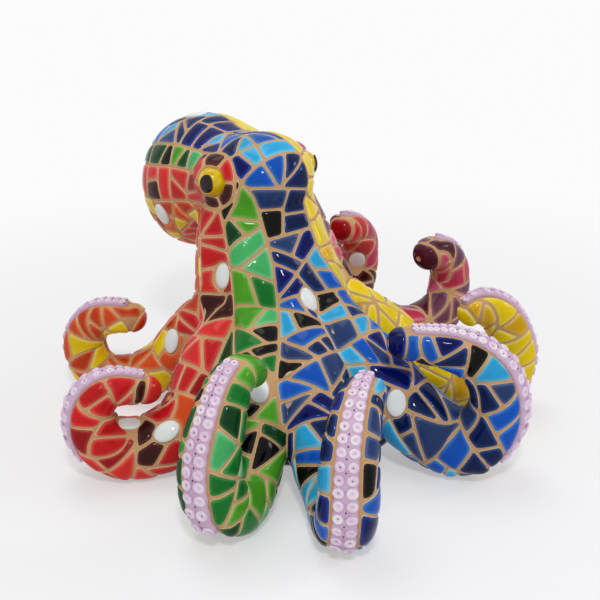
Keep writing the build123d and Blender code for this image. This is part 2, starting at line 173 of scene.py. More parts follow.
class Arm:
    """The route of one arm, with a frame at any distance from its joint face."""

    samples_per_span = 20

    def __init__(self, name):
        self.points = route_points(name)
        facing = math.radians(STRIP_FACING[name])
        self.left = Vector((-math.sin(facing), math.cos(facing), 0))
        self.lengths = [(0.0, float(joint_point))]
        count = (len(self.points) - 1 - joint_point) * self.samples_per_span
        before = Vector(self.points[joint_point][:3])
        for step in range(1, count + 1):
            place = joint_point + step / self.samples_per_span
            here = Vector(smooth_through(self.points, place)[:3])
            self.lengths.append((self.lengths[-1][0] + (here - before).length, place))
            before = here
        self.length = self.lengths[-1][0]

    def place_at(self, distance):
        """Place on the route at a distance from the joint face."""
        for (low, start), (high, end) in zip(self.lengths, self.lengths[1:]):
            if distance <= high:
                return start + (end - start) * (distance - low) / (high - low)
        return self.lengths[-1][1]

    def frame(self, place):
        """Middle, radius, direction, seat side and left side of the arm at a place."""
        nudge = 0.01
        last = len(self.points) - 1
        x, y, z, radius = smooth_through(self.points, place)
        ahead = Vector(smooth_through(self.points, min(place + nudge, last))[:3])
        behind = Vector(smooth_through(self.points, max(place - nudge, 0))[:3])
        along = (ahead - behind).normalized()
        seat = self.left.cross(along).normalized()
        left = along.cross(seat)
        start = math.acos(seat_depth_share)
        turns = [start + 2 * (math.pi - start) / 12 * index for index in range(13)]
        drop = min(math.cos(turn) * seat.z + math.sin(turn) * left.z for turn in turns)
        lift = max(0.0, sole_clearance - z - drop * radius)
        return Vector((x, y, z + lift)), radius, along, seat, left

    def strip_stops(self):
        """Distances from the joint, from the tip back, of the joints between sucker pairs."""
        stops = []
        distance = self.length - self.points[-1][3] * (1 + strip_end_share)
        while distance > 0:
            middle, radius, along, seat, left = self.frame(self.place_at(distance))
            size = radius / arm_girth
            depth = radius * seat_depth_share + strip_bond + strip_thickness + sucker_height * size
            lowest = (middle + seat * depth).z - abs(left.z) * strip_width / 2 * size
            if lowest < sole_clearance:
                break
            stops.append(distance)
            distance -= sucker_pitch * size
        return stops


ARMS = {name: Arm(name) for name in ARM_SHARES}


def mesh_of(name, bm):
    """A mesh made from a shape, which is then freed."""
    mesh = bpy.data.meshes.new(name)
    bm.to_mesh(mesh)
    bm.free()
    return mesh


def in_scene(name, data):
    """A new object in the scene, made from a mesh, a lamp or a camera."""
    made = bpy.data.objects.new(name, data)
    bpy.context.scene.collection.objects.link(made)
    return made


def in_millimetres(names):
    """The solids of some nodes as one shape in millimetres, with doubled points merged."""
    bm = bmesh.new()
    for name in names:
        bm.from_mesh(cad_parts[name].data)
    bmesh.ops.scale(bm, vec=(1 / MM,) * 3, verts=bm.verts)
    bmesh.ops.remove_doubles(bm, verts=bm.verts, dist=0.001)
    return bm


def new_piece(name, bm, materials, replaced=()):
    """Turns a shape in millimetres into a piece of the figurine."""
    bmesh.ops.scale(bm, vec=(MM, MM, MM), verts=bm.verts)
    mesh = mesh_of(name, bm)
    mesh.shade_smooth()
    for material in materials:
        mesh.materials.append(material)
    piece = in_scene(name, mesh)
    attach(piece, "root")
    if replaced:
        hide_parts(*replaced)
    return piece


# Grout skin
seam_fill = 0.3              # swells the castings so that their glue lines close
skin_passes = 12             # smoothing over the whole skin
root_passes = 14             # more smoothing where the arms leave the body
# Saddle between mantle and brow: its middle and spread in x and y, its depth and where it ends
saddle_middle, saddle_spread = (0.0, 54.0), (19.0, 15.0)
saddle_depth, saddle_foot, saddle_top = 4.0, 98.0, 112.0
field_passes = 20            # smoothing of the colour zones' own field
ratio_passes = 5             # smoothing of each arm's reach over the skin


def grout_form():
    """Body and arms as one closed skin with soft valleys."""
    bm = in_millimetres(["body_casting"] + list(ARMS))
    bm.normal_update()
    for vert in bm.verts:
        vert.co += vert.normal * seam_fill
    mesh = mesh_of("grout_form", bm)
    former = in_scene("grout_form", mesh)
    remesh = former.modifiers.new("Skin", "REMESH")
    remesh.mode = "VOXEL"
    remesh.voxel_size = voxel
    remesh.adaptivity = 0
    bpy.context.view_layer.update()
    made = former.evaluated_get(bpy.context.evaluated_depsgraph_get())
    skin = bmesh.new()
    skin.from_mesh(made.to_mesh())
    made.to_mesh_clear()
    bpy.data.objects.remove(former)
    bpy.data.meshes.remove(mesh)
    keep_largest(skin)
    roots = [Vector(arm.points[joint_point][:3]) for arm in ARMS.values()]
    near_roots = [vert for vert in skin.verts
                  if min((vert.co - root).length for root in roots) < arm_girth * 1.7]
    for count, verts in ((skin_passes, skin.verts[:]), (root_passes, near_roots)):
        for _ in range(count):
            bmesh.ops.smooth_vert(skin, verts=verts, factor=0.5,
                                  use_axis_x=True, use_axis_y=True, use_axis_z=True)
    for vert in skin.verts:
        x, y = ((vert.co[axis] - saddle_middle[axis]) / saddle_spread[axis] for axis in (0, 1))
        upper = min(1.0, max(0.0, (vert.co.z - saddle_foot) / (saddle_top - saddle_foot)))
        vert.co.z = max(vert.co.z - saddle_depth * upper * math.exp(-x * x - y * y), 0.0)
    skin.normal_update()
    return skin


def shells_of(verts):
    """Groups of connected vertices."""
    left = set(verts)
    shells = []
    while left:
        front = [left.pop()]
        shell = []
        while front:
            vert = front.pop()
            shell.append(vert)
            for edge in vert.link_edges:
                other = edge.other_vert(vert)
                if other in left:
                    left.remove(other)
                    front.append(other)
        shells.append(shell)
    return shells


def keep_largest(bm):
    """Drops every shell of a mesh but the one with the most vertices."""
    shells = sorted(shells_of(bm.verts), key=len)
    lost = [vert for shell in shells[:-1] for vert in shell]
    bmesh.ops.delete(bm, geom=lost, context="VERTS")


class Line:
    """A line through the form, as arrays, from which places on the skin are measured."""

    def __init__(self, middles, radii, alongs, outs, sides, start):
        self.middles, self.radii = np.array(middles), np.array(radii)
        self.alongs, self.outs, self.sides = np.array(alongs), np.array(outs), np.array(sides)
        steps = np.linalg.norm(np.diff(self.middles, axis=0), axis=1)
        self.reach = np.concatenate([[0], np.cumsum(steps)]) + start

    def measure(self, points):
        """Reach along the line, turn from its outer side, distance, and that over the radius."""
        nearest = np.zeros(len(points), int)
        best = np.full(len(points), 1e9)
        for index, (middle, radius) in enumerate(zip(self.middles, self.radii)):
            ratio = np.linalg.norm(points - middle, axis=1) / radius
            closer = ratio < best
            best[closer] = ratio[closer]
            nearest[closer] = index
        offset = points - self.middles[nearest]
        ahead = np.sum(offset * self.alongs[nearest], axis=1)
        offset = offset - ahead[:, None] * self.alongs[nearest]
        out = np.sum(offset * self.outs[nearest], axis=1)
        side = np.sum(offset * self.sides[nearest], axis=1)
        return (self.reach[nearest] + ahead, np.arctan2(side, out),
                np.hypot(out, side), best, nearest)


def arm_line(arm):
    """The line of an arm, from inside the body to its tip."""
    first = 0.7
    count = 100
    last = len(arm.points) - 1
    rows = [arm.frame(first + (last - first) * index / count) for index in range(count + 1)]
    line = Line([row[0] for row in rows], [row[1] for row in rows], [row[2] for row in rows],
                [-row[3] for row in rows], [row[4] for row in rows], 0.0)
    joint = np.interp(joint_point, [first, last], [0, count])
    line.reach -= np.interp(joint, range(count + 1), line.reach)
    return line


def middle_line():
    """The middle line of mantle, head and trunk."""
    count = 120
    points = [(0.0, y, z) for y, z in MIDDLE_LINE]
    spots = [np.array(smooth_through(points, (len(points) - 1) * index / count))
             for index in range(count + 1)]
    alongs = np.gradient(np.array(spots), axis=0)
    alongs /= np.linalg.norm(alongs, axis=1)[:, None]
    across = np.array([1.0, 0.0, 0.0])
    outs = np.cross(alongs, across)
    return Line(spots, [1.0] * len(spots), alongs, outs, [across] * len(spots), 0.0)


class Skin:
    """The grout skin as arrays, with what the tile layer needs to know of each place."""

    def __init__(self, bm):
        bm.verts.index_update()
        self.points = np.array([vert.co for vert in bm.verts])
        self.normals = np.array([vert.normal for vert in bm.verts])
        self.faces = np.array([[vert.index for vert in face.verts] for face in bm.faces])
        areas = np.array([face.calc_area() for face in bm.faces])
        self.areas = np.bincount(self.faces.ravel(), np.repeat(areas / 4, 4), len(self.points))
        order = np.argsort(self.faces.ravel(), kind="stable")
        self.face_list = order // 4
        counts = np.bincount(self.faces.ravel(), minlength=len(self.points))
        self.face_start = np.concatenate([[0], np.cumsum(counts)])
        self.low = self.points[:, 2] - foot_line
        self.measure_arms()
        self.measure_body()
        self.measure_eyes()
        self.measure_stones()

    def smoothed(self, values, passes):
        """A field on the skin, averaged over its neighbours that many times."""
        counts = np.diff(self.face_start)
        for _ in range(passes):
            means = np.repeat(values[self.faces].mean(axis=1), 4)
            values = np.bincount(self.faces.ravel(), means, len(values)) / counts
        return values

    def largest_patch(self, inside):
        """The largest connected part of some places on the skin."""
        left = set(np.nonzero(inside)[0].tolist())
        largest = []
        while left:
            patch = [left.pop()]
            for spot in patch:
                touched = self.face_list[self.face_start[spot]:self.face_start[spot + 1]]
                beside = left.intersection(self.faces[touched].ravel().tolist())
                left -= beside
                patch.extend(sorted(beside))
            largest = max(largest, patch, key=len)
        mask = np.zeros(len(inside), bool)
        mask[largest] = True
        return mask

    def measure_arms(self):
        """How every place lies to every arm, and which arm it belongs to, if any."""
        self.arm_reach, self.arm_turn, self.arm_ratio, self.arm_radius = {}, {}, {}, {}
        self.arm_spread = {}
        free, least_facing = 3.0, 0.15
        for name, arm in ARMS.items():
            line = arm_line(arm)
            reach, turn, distance, ratio, nearest = line.measure(self.points)
            offset = self.points - line.middles[nearest]
            facing = np.sum(offset * self.normals, axis=1) / np.linalg.norm(offset, axis=1)
            self.arm_reach[name], self.arm_turn[name] = reach, turn
            self.arm_spread[name] = distance
            ratio = np.where(facing > least_facing, np.minimum(ratio, free), free)
            inside = (ratio < flare_ratio) & (reach > arm_start)
            ratio[inside & ~self.largest_patch(inside)] = free
            self.arm_ratio[name] = self.smoothed(ratio, ratio_passes)
            self.arm_radius[name] = line.radii[nearest]
        ratios = np.array([self.arm_ratio[name] for name in ARMS])
        first = np.argmin(ratios, axis=0)
        self.arm_of = np.full(len(self.points), -1)
        for index, name in enumerate(ARMS):
            inside = ((first == index) & (ratios[index] < flare_ratio)
                      & (self.arm_reach[name] > arm_start))
            self.arm_of[inside] = index
        self.ratios = ratios

    def arm_limits(self, index, name):
        """Distances to the edges of an arm's own tiles, positive inside."""
        others = np.delete(self.ratios, index, axis=0).min(axis=0)
        radius = self.arm_radius[name]
        between = (others - self.ratios[index]) * radius / 2
        start = self.arm_reach[name] - arm_start
        flare = (flare_ratio - self.ratios[index]) * radius
        return [between, start, flare]

    def strip_limit(self, name):
        """Distance to the edge of an arm's sucker strip, positive outside it."""
        first, last = strip_ends(name)
        radius = self.arm_radius[name]
        size = radius / arm_girth
        beside = radius * (np.pi - np.abs(self.arm_turn[name])) - shown_width / 2 * size
        lengthwise = np.maximum(first - self.arm_reach[name], self.arm_reach[name] - last)
        corner = np.hypot(np.maximum(beside, 0), np.maximum(lengthwise, 0))
        return np.where(corner > 0, corner, np.maximum(beside, lengthwise)) - strip_margin

    def measure_body(self):
        """Reach along the middle line, and colour zone, of every place on the body."""
        line = middle_line()
        reach, turn, distance, ratio, nearest = line.measure(self.points)
        reach = self.smoothed(reach, field_passes)
        self.body_radius = distance
        angle = np.degrees(np.arctan2(self.smoothed(np.cos(turn), field_passes),
                                      self.smoothed(np.sin(turn), field_passes)))
        starts = np.interp(reach, [mantle_until, neck_from, neck_until, foot_from],
                           [MANTLE_TURNS[0], NECK_TURNS[0], NECK_TURNS[0], FOOT_TURNS[0]])
        self.body_turn = (starts - angle) % 360
        ends = [np.zeros(len(reach))]
        for mantle, neck, foot in zip(MANTLE_TURNS[1], NECK_TURNS[1], FOOT_TURNS[1]):
            ends.append(np.interp(reach, [mantle_until, neck_from, neck_until, foot_from],
                                  [mantle, neck, neck, foot]))
        self.zone_ends = np.array(ends)
        self.zone_of = np.clip(np.sum(self.body_turn >= self.zone_ends[1:], axis=0),
                               0, len(ZONES) - 1)

    def body_limits(self, zone):
        """Distances to the edges of a colour zone on the body, positive inside."""
        per_degree = np.pi / 180 * self.body_radius
        middle = (self.zone_ends[zone] + self.zone_ends[zone + 1]) / 2
        turn = (self.body_turn - middle + 180) % 360 - 180
        half = (self.zone_ends[zone + 1] - self.zone_ends[zone]) / 2
        limits = [(half - turn) * per_degree, (half + turn) * per_degree]
        for index, name in enumerate(ARMS):
            limits.append(np.maximum(arm_start - self.arm_reach[name],
                                     (self.ratios[index] - flare_ratio) * self.arm_radius[name]))
        return limits

    def measure_eyes(self):
        """Distance from, and turn about, each eye."""
        self.eyes = {}
        for word, side in (("left", -1), ("right", 1)):
            middle, gaze = eye_place(side)
            offset = self.points - np.array(middle)
            level = np.array(gaze.cross(Vector((0, 0, 1))))
            up = np.cross(level, np.array(gaze))
            turn = np.arctan2(offset @ up, offset @ level)
            self.eyes[word] = (np.linalg.norm(offset, axis=1), turn)

    def measure_stones(self):
        """Distance to the rim of the nearest oval stone, positive outside it."""
        far_off, stone_level, tiny = 50.0, 8.0, 0.001
        self.stone_gap = np.full(len(self.points), far_off)
        for middle, axes, sizes in stone_places():
            offset = self.points - middle
            x, y, z = offset @ axes[0], offset @ axes[1], offset @ axes[2]
            beside = np.hypot(x, y) + tiny
            rim = np.hypot(x / sizes[0], y / sizes[1]) + tiny
            gap = beside * (1 - 1 / rim)
            gap[np.abs(z) > stone_level] = far_off
            self.stone_gap = np.minimum(self.stone_gap, gap)


def eye_place(side):
    """Middle and gaze of an eyeball; side is -1 for the left and 1 for the right."""
    middle = Vector((side * eye_spread / 2, eye_set_back, trunk_height + eye_lift))
    turn = math.radians(gaze_turn)
    return middle, Vector((side * math.cos(turn), -math.sin(turn), 0))


def stone_places():
    """Middle, axes and half sizes of each oval stone, from its solid."""
    if not STONES:
        bm = in_millimetres(["oval_stones"])
        for shell in shells_of(bm.verts):
            points = np.array([vert.co for vert in shell])
            middle = points.mean(axis=0)
            if min(math.dist(middle, place) for place in BARE_PLACES) < bare_reach:
                continue
            axes = np.linalg.svd(points - middle)[2]
            spans = [points @ axis for axis in axes]
            up = axes[2] if crown_side(spans[2]) > 0 else -axes[2]
            low = (points @ up).min()
            middle = middle + up * (low + stone_sink - middle @ up)
            sizes = [(span.max() - span.min()) / 2 * stone_growth for span in spans]
            STONES.append((middle, (axes[0], np.cross(up, axes[0]), up), sizes))
        bm.free()
    return STONES


def crown_side(values):
    """Positive where a stone's crown, which has more rings, lies towards larger values."""
    middle = (values.max() + values.min()) / 2
    return np.sum(values > middle) - np.sum(values < middle)


STONES = []
BARE_PLACES = ((55, -28, 19), (74, 4, 32))    # the tiles run on over two of the stones' places
bare_reach = 5.0
stone_sink = 1.2
stone_growth = 1.2           # the glaze spreads this much wider than the stone's plain solid


# Tile layout
body_cell = 124.0            # area of a tile and its joint on the body, in square millimetres
arm_cell = 165.0             # the same where an arm is thickest
thick_arm = 12.5             # radius at which an arm has cells of that size
ring_length = 30.0           # an arm is first broken across into lengths of this
area_spread = (0.72, 1.4)    # area of a cell, as a share of the goal
cut_place = (0.42, 0.58)     # where a cut crosses a patch
cut_tilt = 15.0              # how far a cut strays from square, in degrees
last_cut = 2.2               # a patch below this many goals is cut for the last time
corner_share, corner_tilt, corner_stray = 0.3, 42, 8    # last cuts that take off a corner
fewest_places = 12
least_slope = 0.15           # keeps a cut's distance sound where the skin turns away from it
deepest = 30.0               # depths are held within this
merge_reach = 0.12           # closer points of a tile are merged
joint_stray = 0.12           # how much joints differ in half their width
glaze_run = 1.1              # how far inside its edge a tile's glaze has its full depth
TIP_LENGTHS = {
    "rear_left_arm": 5.0, "left_arm": 8.5, "front_outer_left_arm": 14.0,
    "front_inner_left_arm": 8.0, "front_inner_right_arm": 7.5, "front_outer_right_arm": 5.0,
    "right_arm": 7.0, "rear_right_arm": 4.5}

# The space of one tile: its palette, its places on the skin, the coordinates that its cuts
# are straight in, the cuts, its distances inside the other things that bound it, and for a
# tile that wraps round a tip the places laid out flat.
Cell = namedtuple("Cell", "palette members coordinates cuts limits flat", defaults=[None])


def face_axes(skin, cell):
    """Two directions along the skin at a patch, the longest extent first, as columns."""
    offset = skin.points[cell] - skin.points[cell].mean(axis=0)
    normal = skin.normals[cell].mean(axis=0)
    strength = np.linalg.norm(normal)
    if strength > 0.25:
        normal /= strength
        offset = offset - np.outer(offset @ normal, normal)
    return np.linalg.eigh(offset.T @ offset)[1][:, ::-1][:, :2]


def break_up(skin, members, coordinates, axes_of, goal, rng):
    """Breaks a patch by straight cuts, as crockery breaks, into the cells of single tiles."""
    cells = []
    work = [(members, [])]
    while work:
        cell, cuts = work.pop()
        area = skin.areas[cell].sum()
        aim = goal[cell].mean() * rng.uniform(*area_spread)
        if area < aim or len(cell) < fewest_places:
            cells.append((cell, cuts))
            continue
        axes = axes_of(cell)
        flat = coordinates[cell] @ axes
        middle = flat.mean(axis=0)
        flat = flat - middle
        longest = np.linalg.eigh(flat.T @ flat)[1][:, -1]
        tilt = rng.gauss(0, cut_tilt)
        if area < aim * last_cut and rng.random() < corner_share:
            tilt = rng.choice((corner_tilt, -corner_tilt))
            tilt += rng.uniform(-corner_stray, corner_stray)
        turn = math.radians(tilt)
        across = np.array([longest[0] * math.cos(turn) - longest[1] * math.sin(turn),
                           longest[0] * math.sin(turn) + longest[1] * math.cos(turn)])
        height = flat @ across
        cut = np.quantile(height, rng.uniform(*cut_place))
        direction, offset = axes @ across, -cut - middle @ across
        work.append((cell[height < cut], cuts + [(-direction, -offset)]))
        work.append((cell[height >= cut], cuts + [(direction, offset)]))
    return cells


def arm_cells(skin, index, name, rng):
    """Cells of an arm's tiles, with its tip in one."""
    arm = ARMS[name]
    members = np.nonzero((skin.arm_of == index) & (skin.low > 0))[0]
    reach, turn, radius = skin.arm_reach[name], skin.arm_turn[name], skin.arm_radius[name]
    coordinates = np.column_stack([reach, turn * radius, skin.points])
    tip = arm.length + arm.points[-1][3] * 0.2 - TIP_LENGTHS[name]
    to_tip = np.array([-1.0, 0, 0, 0, 0])
    strip = skin.strip_limit(name)
    limits = skin.arm_limits(index, name) + [strip, skin.low, skin.stone_gap]
    seam = radius * (np.pi - np.abs(turn))
    goal = arm_cell * np.clip(radius / thick_arm, 0.45, 1)

    def axes_of(cell):
        axes = np.zeros((5, 2))
        if np.ptp(reach[cell]) > ring_length:
            axes[0, 0] = axes[1, 1] = 1
        else:
            axes[2:] = face_axes(skin, cell)
        return axes

    body = members[(reach[members] < tip) & (strip[members] > 0)]
    end = members[(reach[members] >= tip) & (strip[members] > 0)]
    out = skin.arm_spread[name] + reach[end].max() - reach
    laid_out = np.column_stack([out * np.cos(turn), out * np.sin(turn)])
    cells = [Cell("tip", end, coordinates, [], limits + [reach - tip], laid_out)]
    for cell, cuts in break_up(skin, body, coordinates, axes_of, goal, rng):
        cells.append(Cell("arm", cell, coordinates, cuts + [(to_tip, tip)], limits + [seam]))
    return cells


def body_cells(skin, zone, rng):
    """Cells of a colour zone's tiles on the body."""
    clear = np.minimum(*[skin.eyes[word][0] - eye_ring_radius for word in skin.eyes])
    limits = skin.body_limits(zone) + [skin.low, skin.stone_gap, clear]
    members = np.nonzero((skin.arm_of < 0) & (skin.zone_of == zone) & (skin.low > 0)
                         & (clear > 0))[0]
    goal = np.full(len(skin.points), body_cell)
    broken = break_up(skin, members, skin.points, partial(face_axes, skin), goal, rng)
    return [Cell("body", cell, skin.points, cuts, limits) for cell, cuts in broken]


def eye_cells(skin, word, rng):
    """Cells of the ring of tiles round an eye."""
    distance, turn = skin.eyes[word]
    outer = eye_ring_radius - distance
    eye_gap, count, stray = 0.1, 6, 0.12
    inner = distance - eyeball_radius - eye_gap
    members = np.nonzero((outer > 0) & (inner > 0) & (skin.arm_of < 0))[0]
    edges = [rng.uniform(-stray, stray) + 2 * math.pi * index / count for index in range(count)]
    cells = []
    for start, end in zip(edges, edges[1:] + [edges[0] + 2 * math.pi]):
        middle, half = (start + end) / 2, (end - start) / 2
        offset = (turn - middle + np.pi) % (2 * np.pi) - np.pi
        beside = (half - np.abs(offset)) * distance
        cell = members[beside[members] > 0]
        cells.append(Cell("ring", cell, skin.points, [], [beside, outer, inner, skin.stone_gap]))
    return cells


def tile_depths(skin, spots, inside, cell):
    """Flat place of every spot, and its distance inside the tile's softly rounded rim."""
    points = skin.points[spots]
    centre = points[inside].mean(axis=0)
    axes = np.linalg.svd(points[inside] - centre, full_matrices=False)[2][:2]
    flat = (points - centre) @ axes.T if cell.flat is None else cell.flat[spots]
    depths = [limit[spots] for limit in cell.limits]
    if cell.cuts:
        directions = np.array([direction for direction, offset in cell.cuts])
        offsets = np.array([offset for direction, offset in cell.cuts])
        values = cell.coordinates[spots] @ directions.T + offsets
        basis = np.column_stack([flat, np.ones(len(spots))])
        fit = np.linalg.lstsq(basis[inside], values[inside], rcond=None)[0]
        slope = np.maximum(np.hypot(fit[0], fit[1]), least_slope)
        depths += list((values / slope).T)
    depths = np.clip(np.array(depths), -deepest, deepest)
    return flat, -grout_fillet * np.log(np.exp(-depths / grout_fillet).sum(axis=0))


def without_pits(skin, numbers, spots, inside, depth):
    """A tile's depths with the hollows filled, so that they only rise from the tile's rim."""
    corners = np.searchsorted(spots, skin.faces[numbers])
    rim = ~inside | (skin.stone_gap[spots] < 0)
    filled = np.where(rim, depth, np.inf)
    while True:
        lowest = np.full(len(spots), np.inf)
        np.minimum.at(lowest, corners, filled[corners].min(axis=1)[:, None])
        lowered = np.where(rim, depth, np.maximum(depth, lowest))
        if np.array_equal(lowered, filled):
            return filled
        filled = lowered


# Height of a tile against the distance inside its rim
RIM_STEPS = (0.0, 0.28, 0.52, 1.0, 1.7)
RIM_HEIGHTS = (-0.05, tile_edge, tile_shoulder, tile_face, tile_face + 0.05)


def tile_height(inside):
    """Height of a tile's face above the grout, at a distance inside its rim."""
    crown = tile_crown * (1 - math.exp(-max(inside - RIM_STEPS[-1], 0) / 2))
    return float(np.interp(inside, RIM_STEPS, RIM_HEIGHTS)) + crown


def patch_of(source, wanted):
    """A copy of those faces of a mesh whose numbers are wanted."""
    patch = source.copy()
    number = patch.faces.layers.int["number"]
    lost = [face for face in patch.faces if face[number] not in wanted]
    bmesh.ops.delete(patch, geom=lost, context="FACES")
    return patch


def touching(skin, cell):
    """Numbers of the faces that touch any of these places."""
    spans = [skin.face_list[skin.face_start[spot]:skin.face_start[spot + 1]] for spot in cell]
    return np.unique(np.concatenate(spans))


def lay_tile(patch, layers, faces, depth_at, joint, glaze, shade):
    """Cuts one tile out of the skin, raises its face and closes its back."""
    spot, place, lean, number, gloss, tint = layers
    copied = bmesh.ops.duplicate(patch, geom=faces)["geom"]
    for vert in copied:
        if isinstance(vert, bmesh.types.BMVert):
            vert.co = depth_at[vert[spot]]
    for step in RIM_STEPS[:-1]:
        cut = bmesh.ops.bisect_plane(patch, geom=copied, plane_co=(0, 0, joint + step),
                                     plane_no=(0, 0, 1), clear_inner=step == 0)
        copied = [part for part in cut["geom"] if part.is_valid]
    verts = [vert for vert in copied if isinstance(vert, bmesh.types.BMVert)]
    bmesh.ops.remove_doubles(patch, verts=verts, dist=merge_reach)
    verts = [vert for vert in verts if vert.is_valid]
    count = 0
    for shell in shells_of(verts):
        count += finish_tile(patch, layers, shell, joint, glaze, shade)
    return count


def finish_tile(patch, layers, shell, joint, glaze, shade):
    """Gives a cut tile its height and its back, or drops it if it is only a splinter."""
    spot, place, lean, number, gloss, tint = layers
    faces = {face for vert in shell for face in vert.link_faces}
    area = sum(face.calc_area() for face in faces)
    if area < smallest_tile or max(vert.co.z for vert in shell) < joint + RIM_STEPS[2]:
        bmesh.ops.delete(patch, geom=shell, context="VERTS")
        return 0
    for face in faces:
        inside = sum(vert.co.z for vert in face.verts) / len(face.verts) - joint
        face.material_index = 0 if inside < RIM_STEPS[1] else glaze
        face[number] = -1
        face[tint] = shade
    for vert in shell:
        inside = vert.co.z - joint
        vert[gloss] = min(1.0, max(0.0, inside - RIM_STEPS[1]) / glaze_run)
        vert.co = vert[place] + vert[lean].normalized() * tile_height(inside)
    rim = [edge for edge in {e for vert in shell for e in vert.link_edges} if edge.is_boundary]
    wall = bmesh.ops.extrude_edge_only(patch, edges=rim)["geom"]
    for part in wall:
        if isinstance(part, bmesh.types.BMVert):
            part.co = part[place] - part[lean].normalized() * tile_depth
        if isinstance(part, bmesh.types.BMFace):
            part[number] = -1
            part.material_index = 0
    base = [part for part in wall if isinstance(part, bmesh.types.BMEdge) and part.is_boundary]
    for face in bmesh.ops.holes_fill(patch, edges=base, sides=0)["faces"]:
        face[number] = -1
        face.material_index = 0
    return 1


def numbered(bm):
    """Gives the skin's mesh the layers that the tile layer works with."""
    spot = bm.verts.layers.int.new("spot")
    place = bm.verts.layers.float_vector.new("place")
    lean = bm.verts.layers.float_vector.new("lean")
    gloss = bm.verts.layers.float.new("glaze_depth")
    number = bm.faces.layers.int.new("number")
    tint = bm.faces.layers.float.new("shade")
    for index, vert in enumerate(bm.verts):
        vert[spot] = index
        vert[place] = vert.co
        vert[lean] = vert.normal
    for index, face in enumerate(bm.faces):
        face[number] = index
    return bm


def layers_of(bm):
    """The working layers of a patch."""
    verts, faces = bm.verts.layers, bm.faces.layers
    return (verts.int["spot"], verts.float_vector["place"], verts.float_vector["lean"],
            faces.int["number"], verts.float["glaze_depth"], faces.float["shade"])


def lay_tiles(skin, source, cells, palettes, rng):
    """Lays the tiles of a list of cells, and returns them as one mesh."""
    tiles = bmesh.new()
    done = 0
    cells = [cell for cell in cells if len(cell.members) > 4]
    face_sets = [touching(skin, cell.members) for cell in cells]
    everything = patch_of(source, set(np.concatenate(face_sets).tolist()))
    batch = 16
    for first in range(0, len(cells), batch):
        wanted = set(np.concatenate(face_sets[first:first + batch]).tolist())
        patch = patch_of(everything, wanted)
        layers = layers_of(patch)
        face_of = {face[layers[3]]: face for face in patch.faces}
        for cell, numbers in zip(cells[first:first + batch], face_sets[first:first + batch]):
            spots = np.unique(skin.faces[numbers])
            inside = np.isin(spots, cell.members)
            flat, depth = tile_depths(skin, spots, inside, cell)
            depth = without_pits(skin, numbers, spots, inside, depth)
            depth_at = {int(s): (x, y, z) for s, (x, y), z in zip(spots, flat, depth)}
            names, weights = palettes[cell.palette]
            glaze = GLAZE_NUMBERS[rng.choices(names, weights)[0]]
            joint = grout_half - RIM_STEPS[1] + rng.uniform(-joint_stray, joint_stray)
            shade = rng.uniform(-1, 1)
            done += lay_tile(patch, layers, [face_of[n] for n in numbers.tolist()], depth_at,
                             joint, glaze, shade)
        skin_faces = [face for face in patch.faces if face[layers[3]] >= 0]
        bmesh.ops.delete(patch, geom=skin_faces, context="FACES")
        laid = mesh_of("laid", patch)
        tiles.from_mesh(laid)
        bpy.data.meshes.remove(laid)
    everything.free()
    return tiles, done


# Materials
def node(tree, kind, settings=None, **links):
    """Adds a node with its settings; a link is a value for an input, or another's output."""
    made = tree.nodes.new(kind)
    for name, value in (settings or {}).items():
        setattr(made, name, value)
    for name, value in links.items():
        key = name.replace("_", " ") if not name[-1].isdigit() else int(name.rsplit("_", 1)[1])
        socket = made.inputs[key]
        if isinstance(value, bpy.types.NodeSocket):
            tree.links.new(value, socket)
        else:
            socket.default_value = value
    return made


def finish(name, **values):
    """A new material with its shader, and plain values set on the shader's own sockets."""
    material = bpy.data.materials.new(name)
    material.use_nodes = True
    tree = material.node_tree
    shader = tree.nodes["Principled BSDF"]
    for key, value in values.items():
        shader.inputs[key.replace("_", " ")].default_value = value
    return material, tree, shader


def per_metre(size):
    """Scale of a noise whose features measure that many millimetres."""
    return 1000 / size


def uneven(tree, shader, strength, height, noise):
    """Gives a finish the small rises of a noise, that many metres high."""
    bump = node(tree, "ShaderNodeBump", Strength=strength, Distance=height,
                Height=noise.outputs["Fac"])
    tree.links.new(bump.outputs["Normal"], shader.inputs["Normal"])


def glazed_ceramic(name, colour, edge):
    """Fired glaze: deep gloss, thinner and lighter at the rim, a little uneven in the middle."""
    material, tree, shader = finish(name, Roughness=0.08, IOR=1.5, Specular_IOR_Level=0.12)
    where = node(tree, "ShaderNodeTexCoord").outputs["Object"]
    depth = node(tree, "ShaderNodeAttribute", {"attribute_name": "glaze_depth"}).outputs["Fac"]
    shade = node(tree, "ShaderNodeAttribute", {"attribute_name": "shade"}).outputs["Fac"]
    pool = node(tree, "ShaderNodeTexNoise", Vector=where, Scale=per_metre(7), Detail=3.0)
    rim = node(tree, "ShaderNodeMix", {"data_type": "RGBA"}, Factor=depth, in_6=linear(edge),
               in_7=linear(colour))
    level = node(tree, "ShaderNodeMath", {"operation": "MULTIPLY_ADD"}, in_0=shade, in_1=0.10,
                 in_2=0.88)
    spread = node(tree, "ShaderNodeMath", {"operation": "MULTIPLY_ADD"},
                  in_0=pool.outputs["Fac"], in_1=0.22, in_2=level.outputs[0])
    tone = node(tree, "ShaderNodeHueSaturation", Color=rim.outputs[2], Value=spread.outputs[0])
    tree.links.new(tone.outputs["Color"], shader.inputs["Base Color"])
    wave = node(tree, "ShaderNodeTexNoise", Vector=where, Scale=per_metre(4), Detail=2.0)
    uneven(tree, shader, 0.35, 0.00025, wave)
    return material


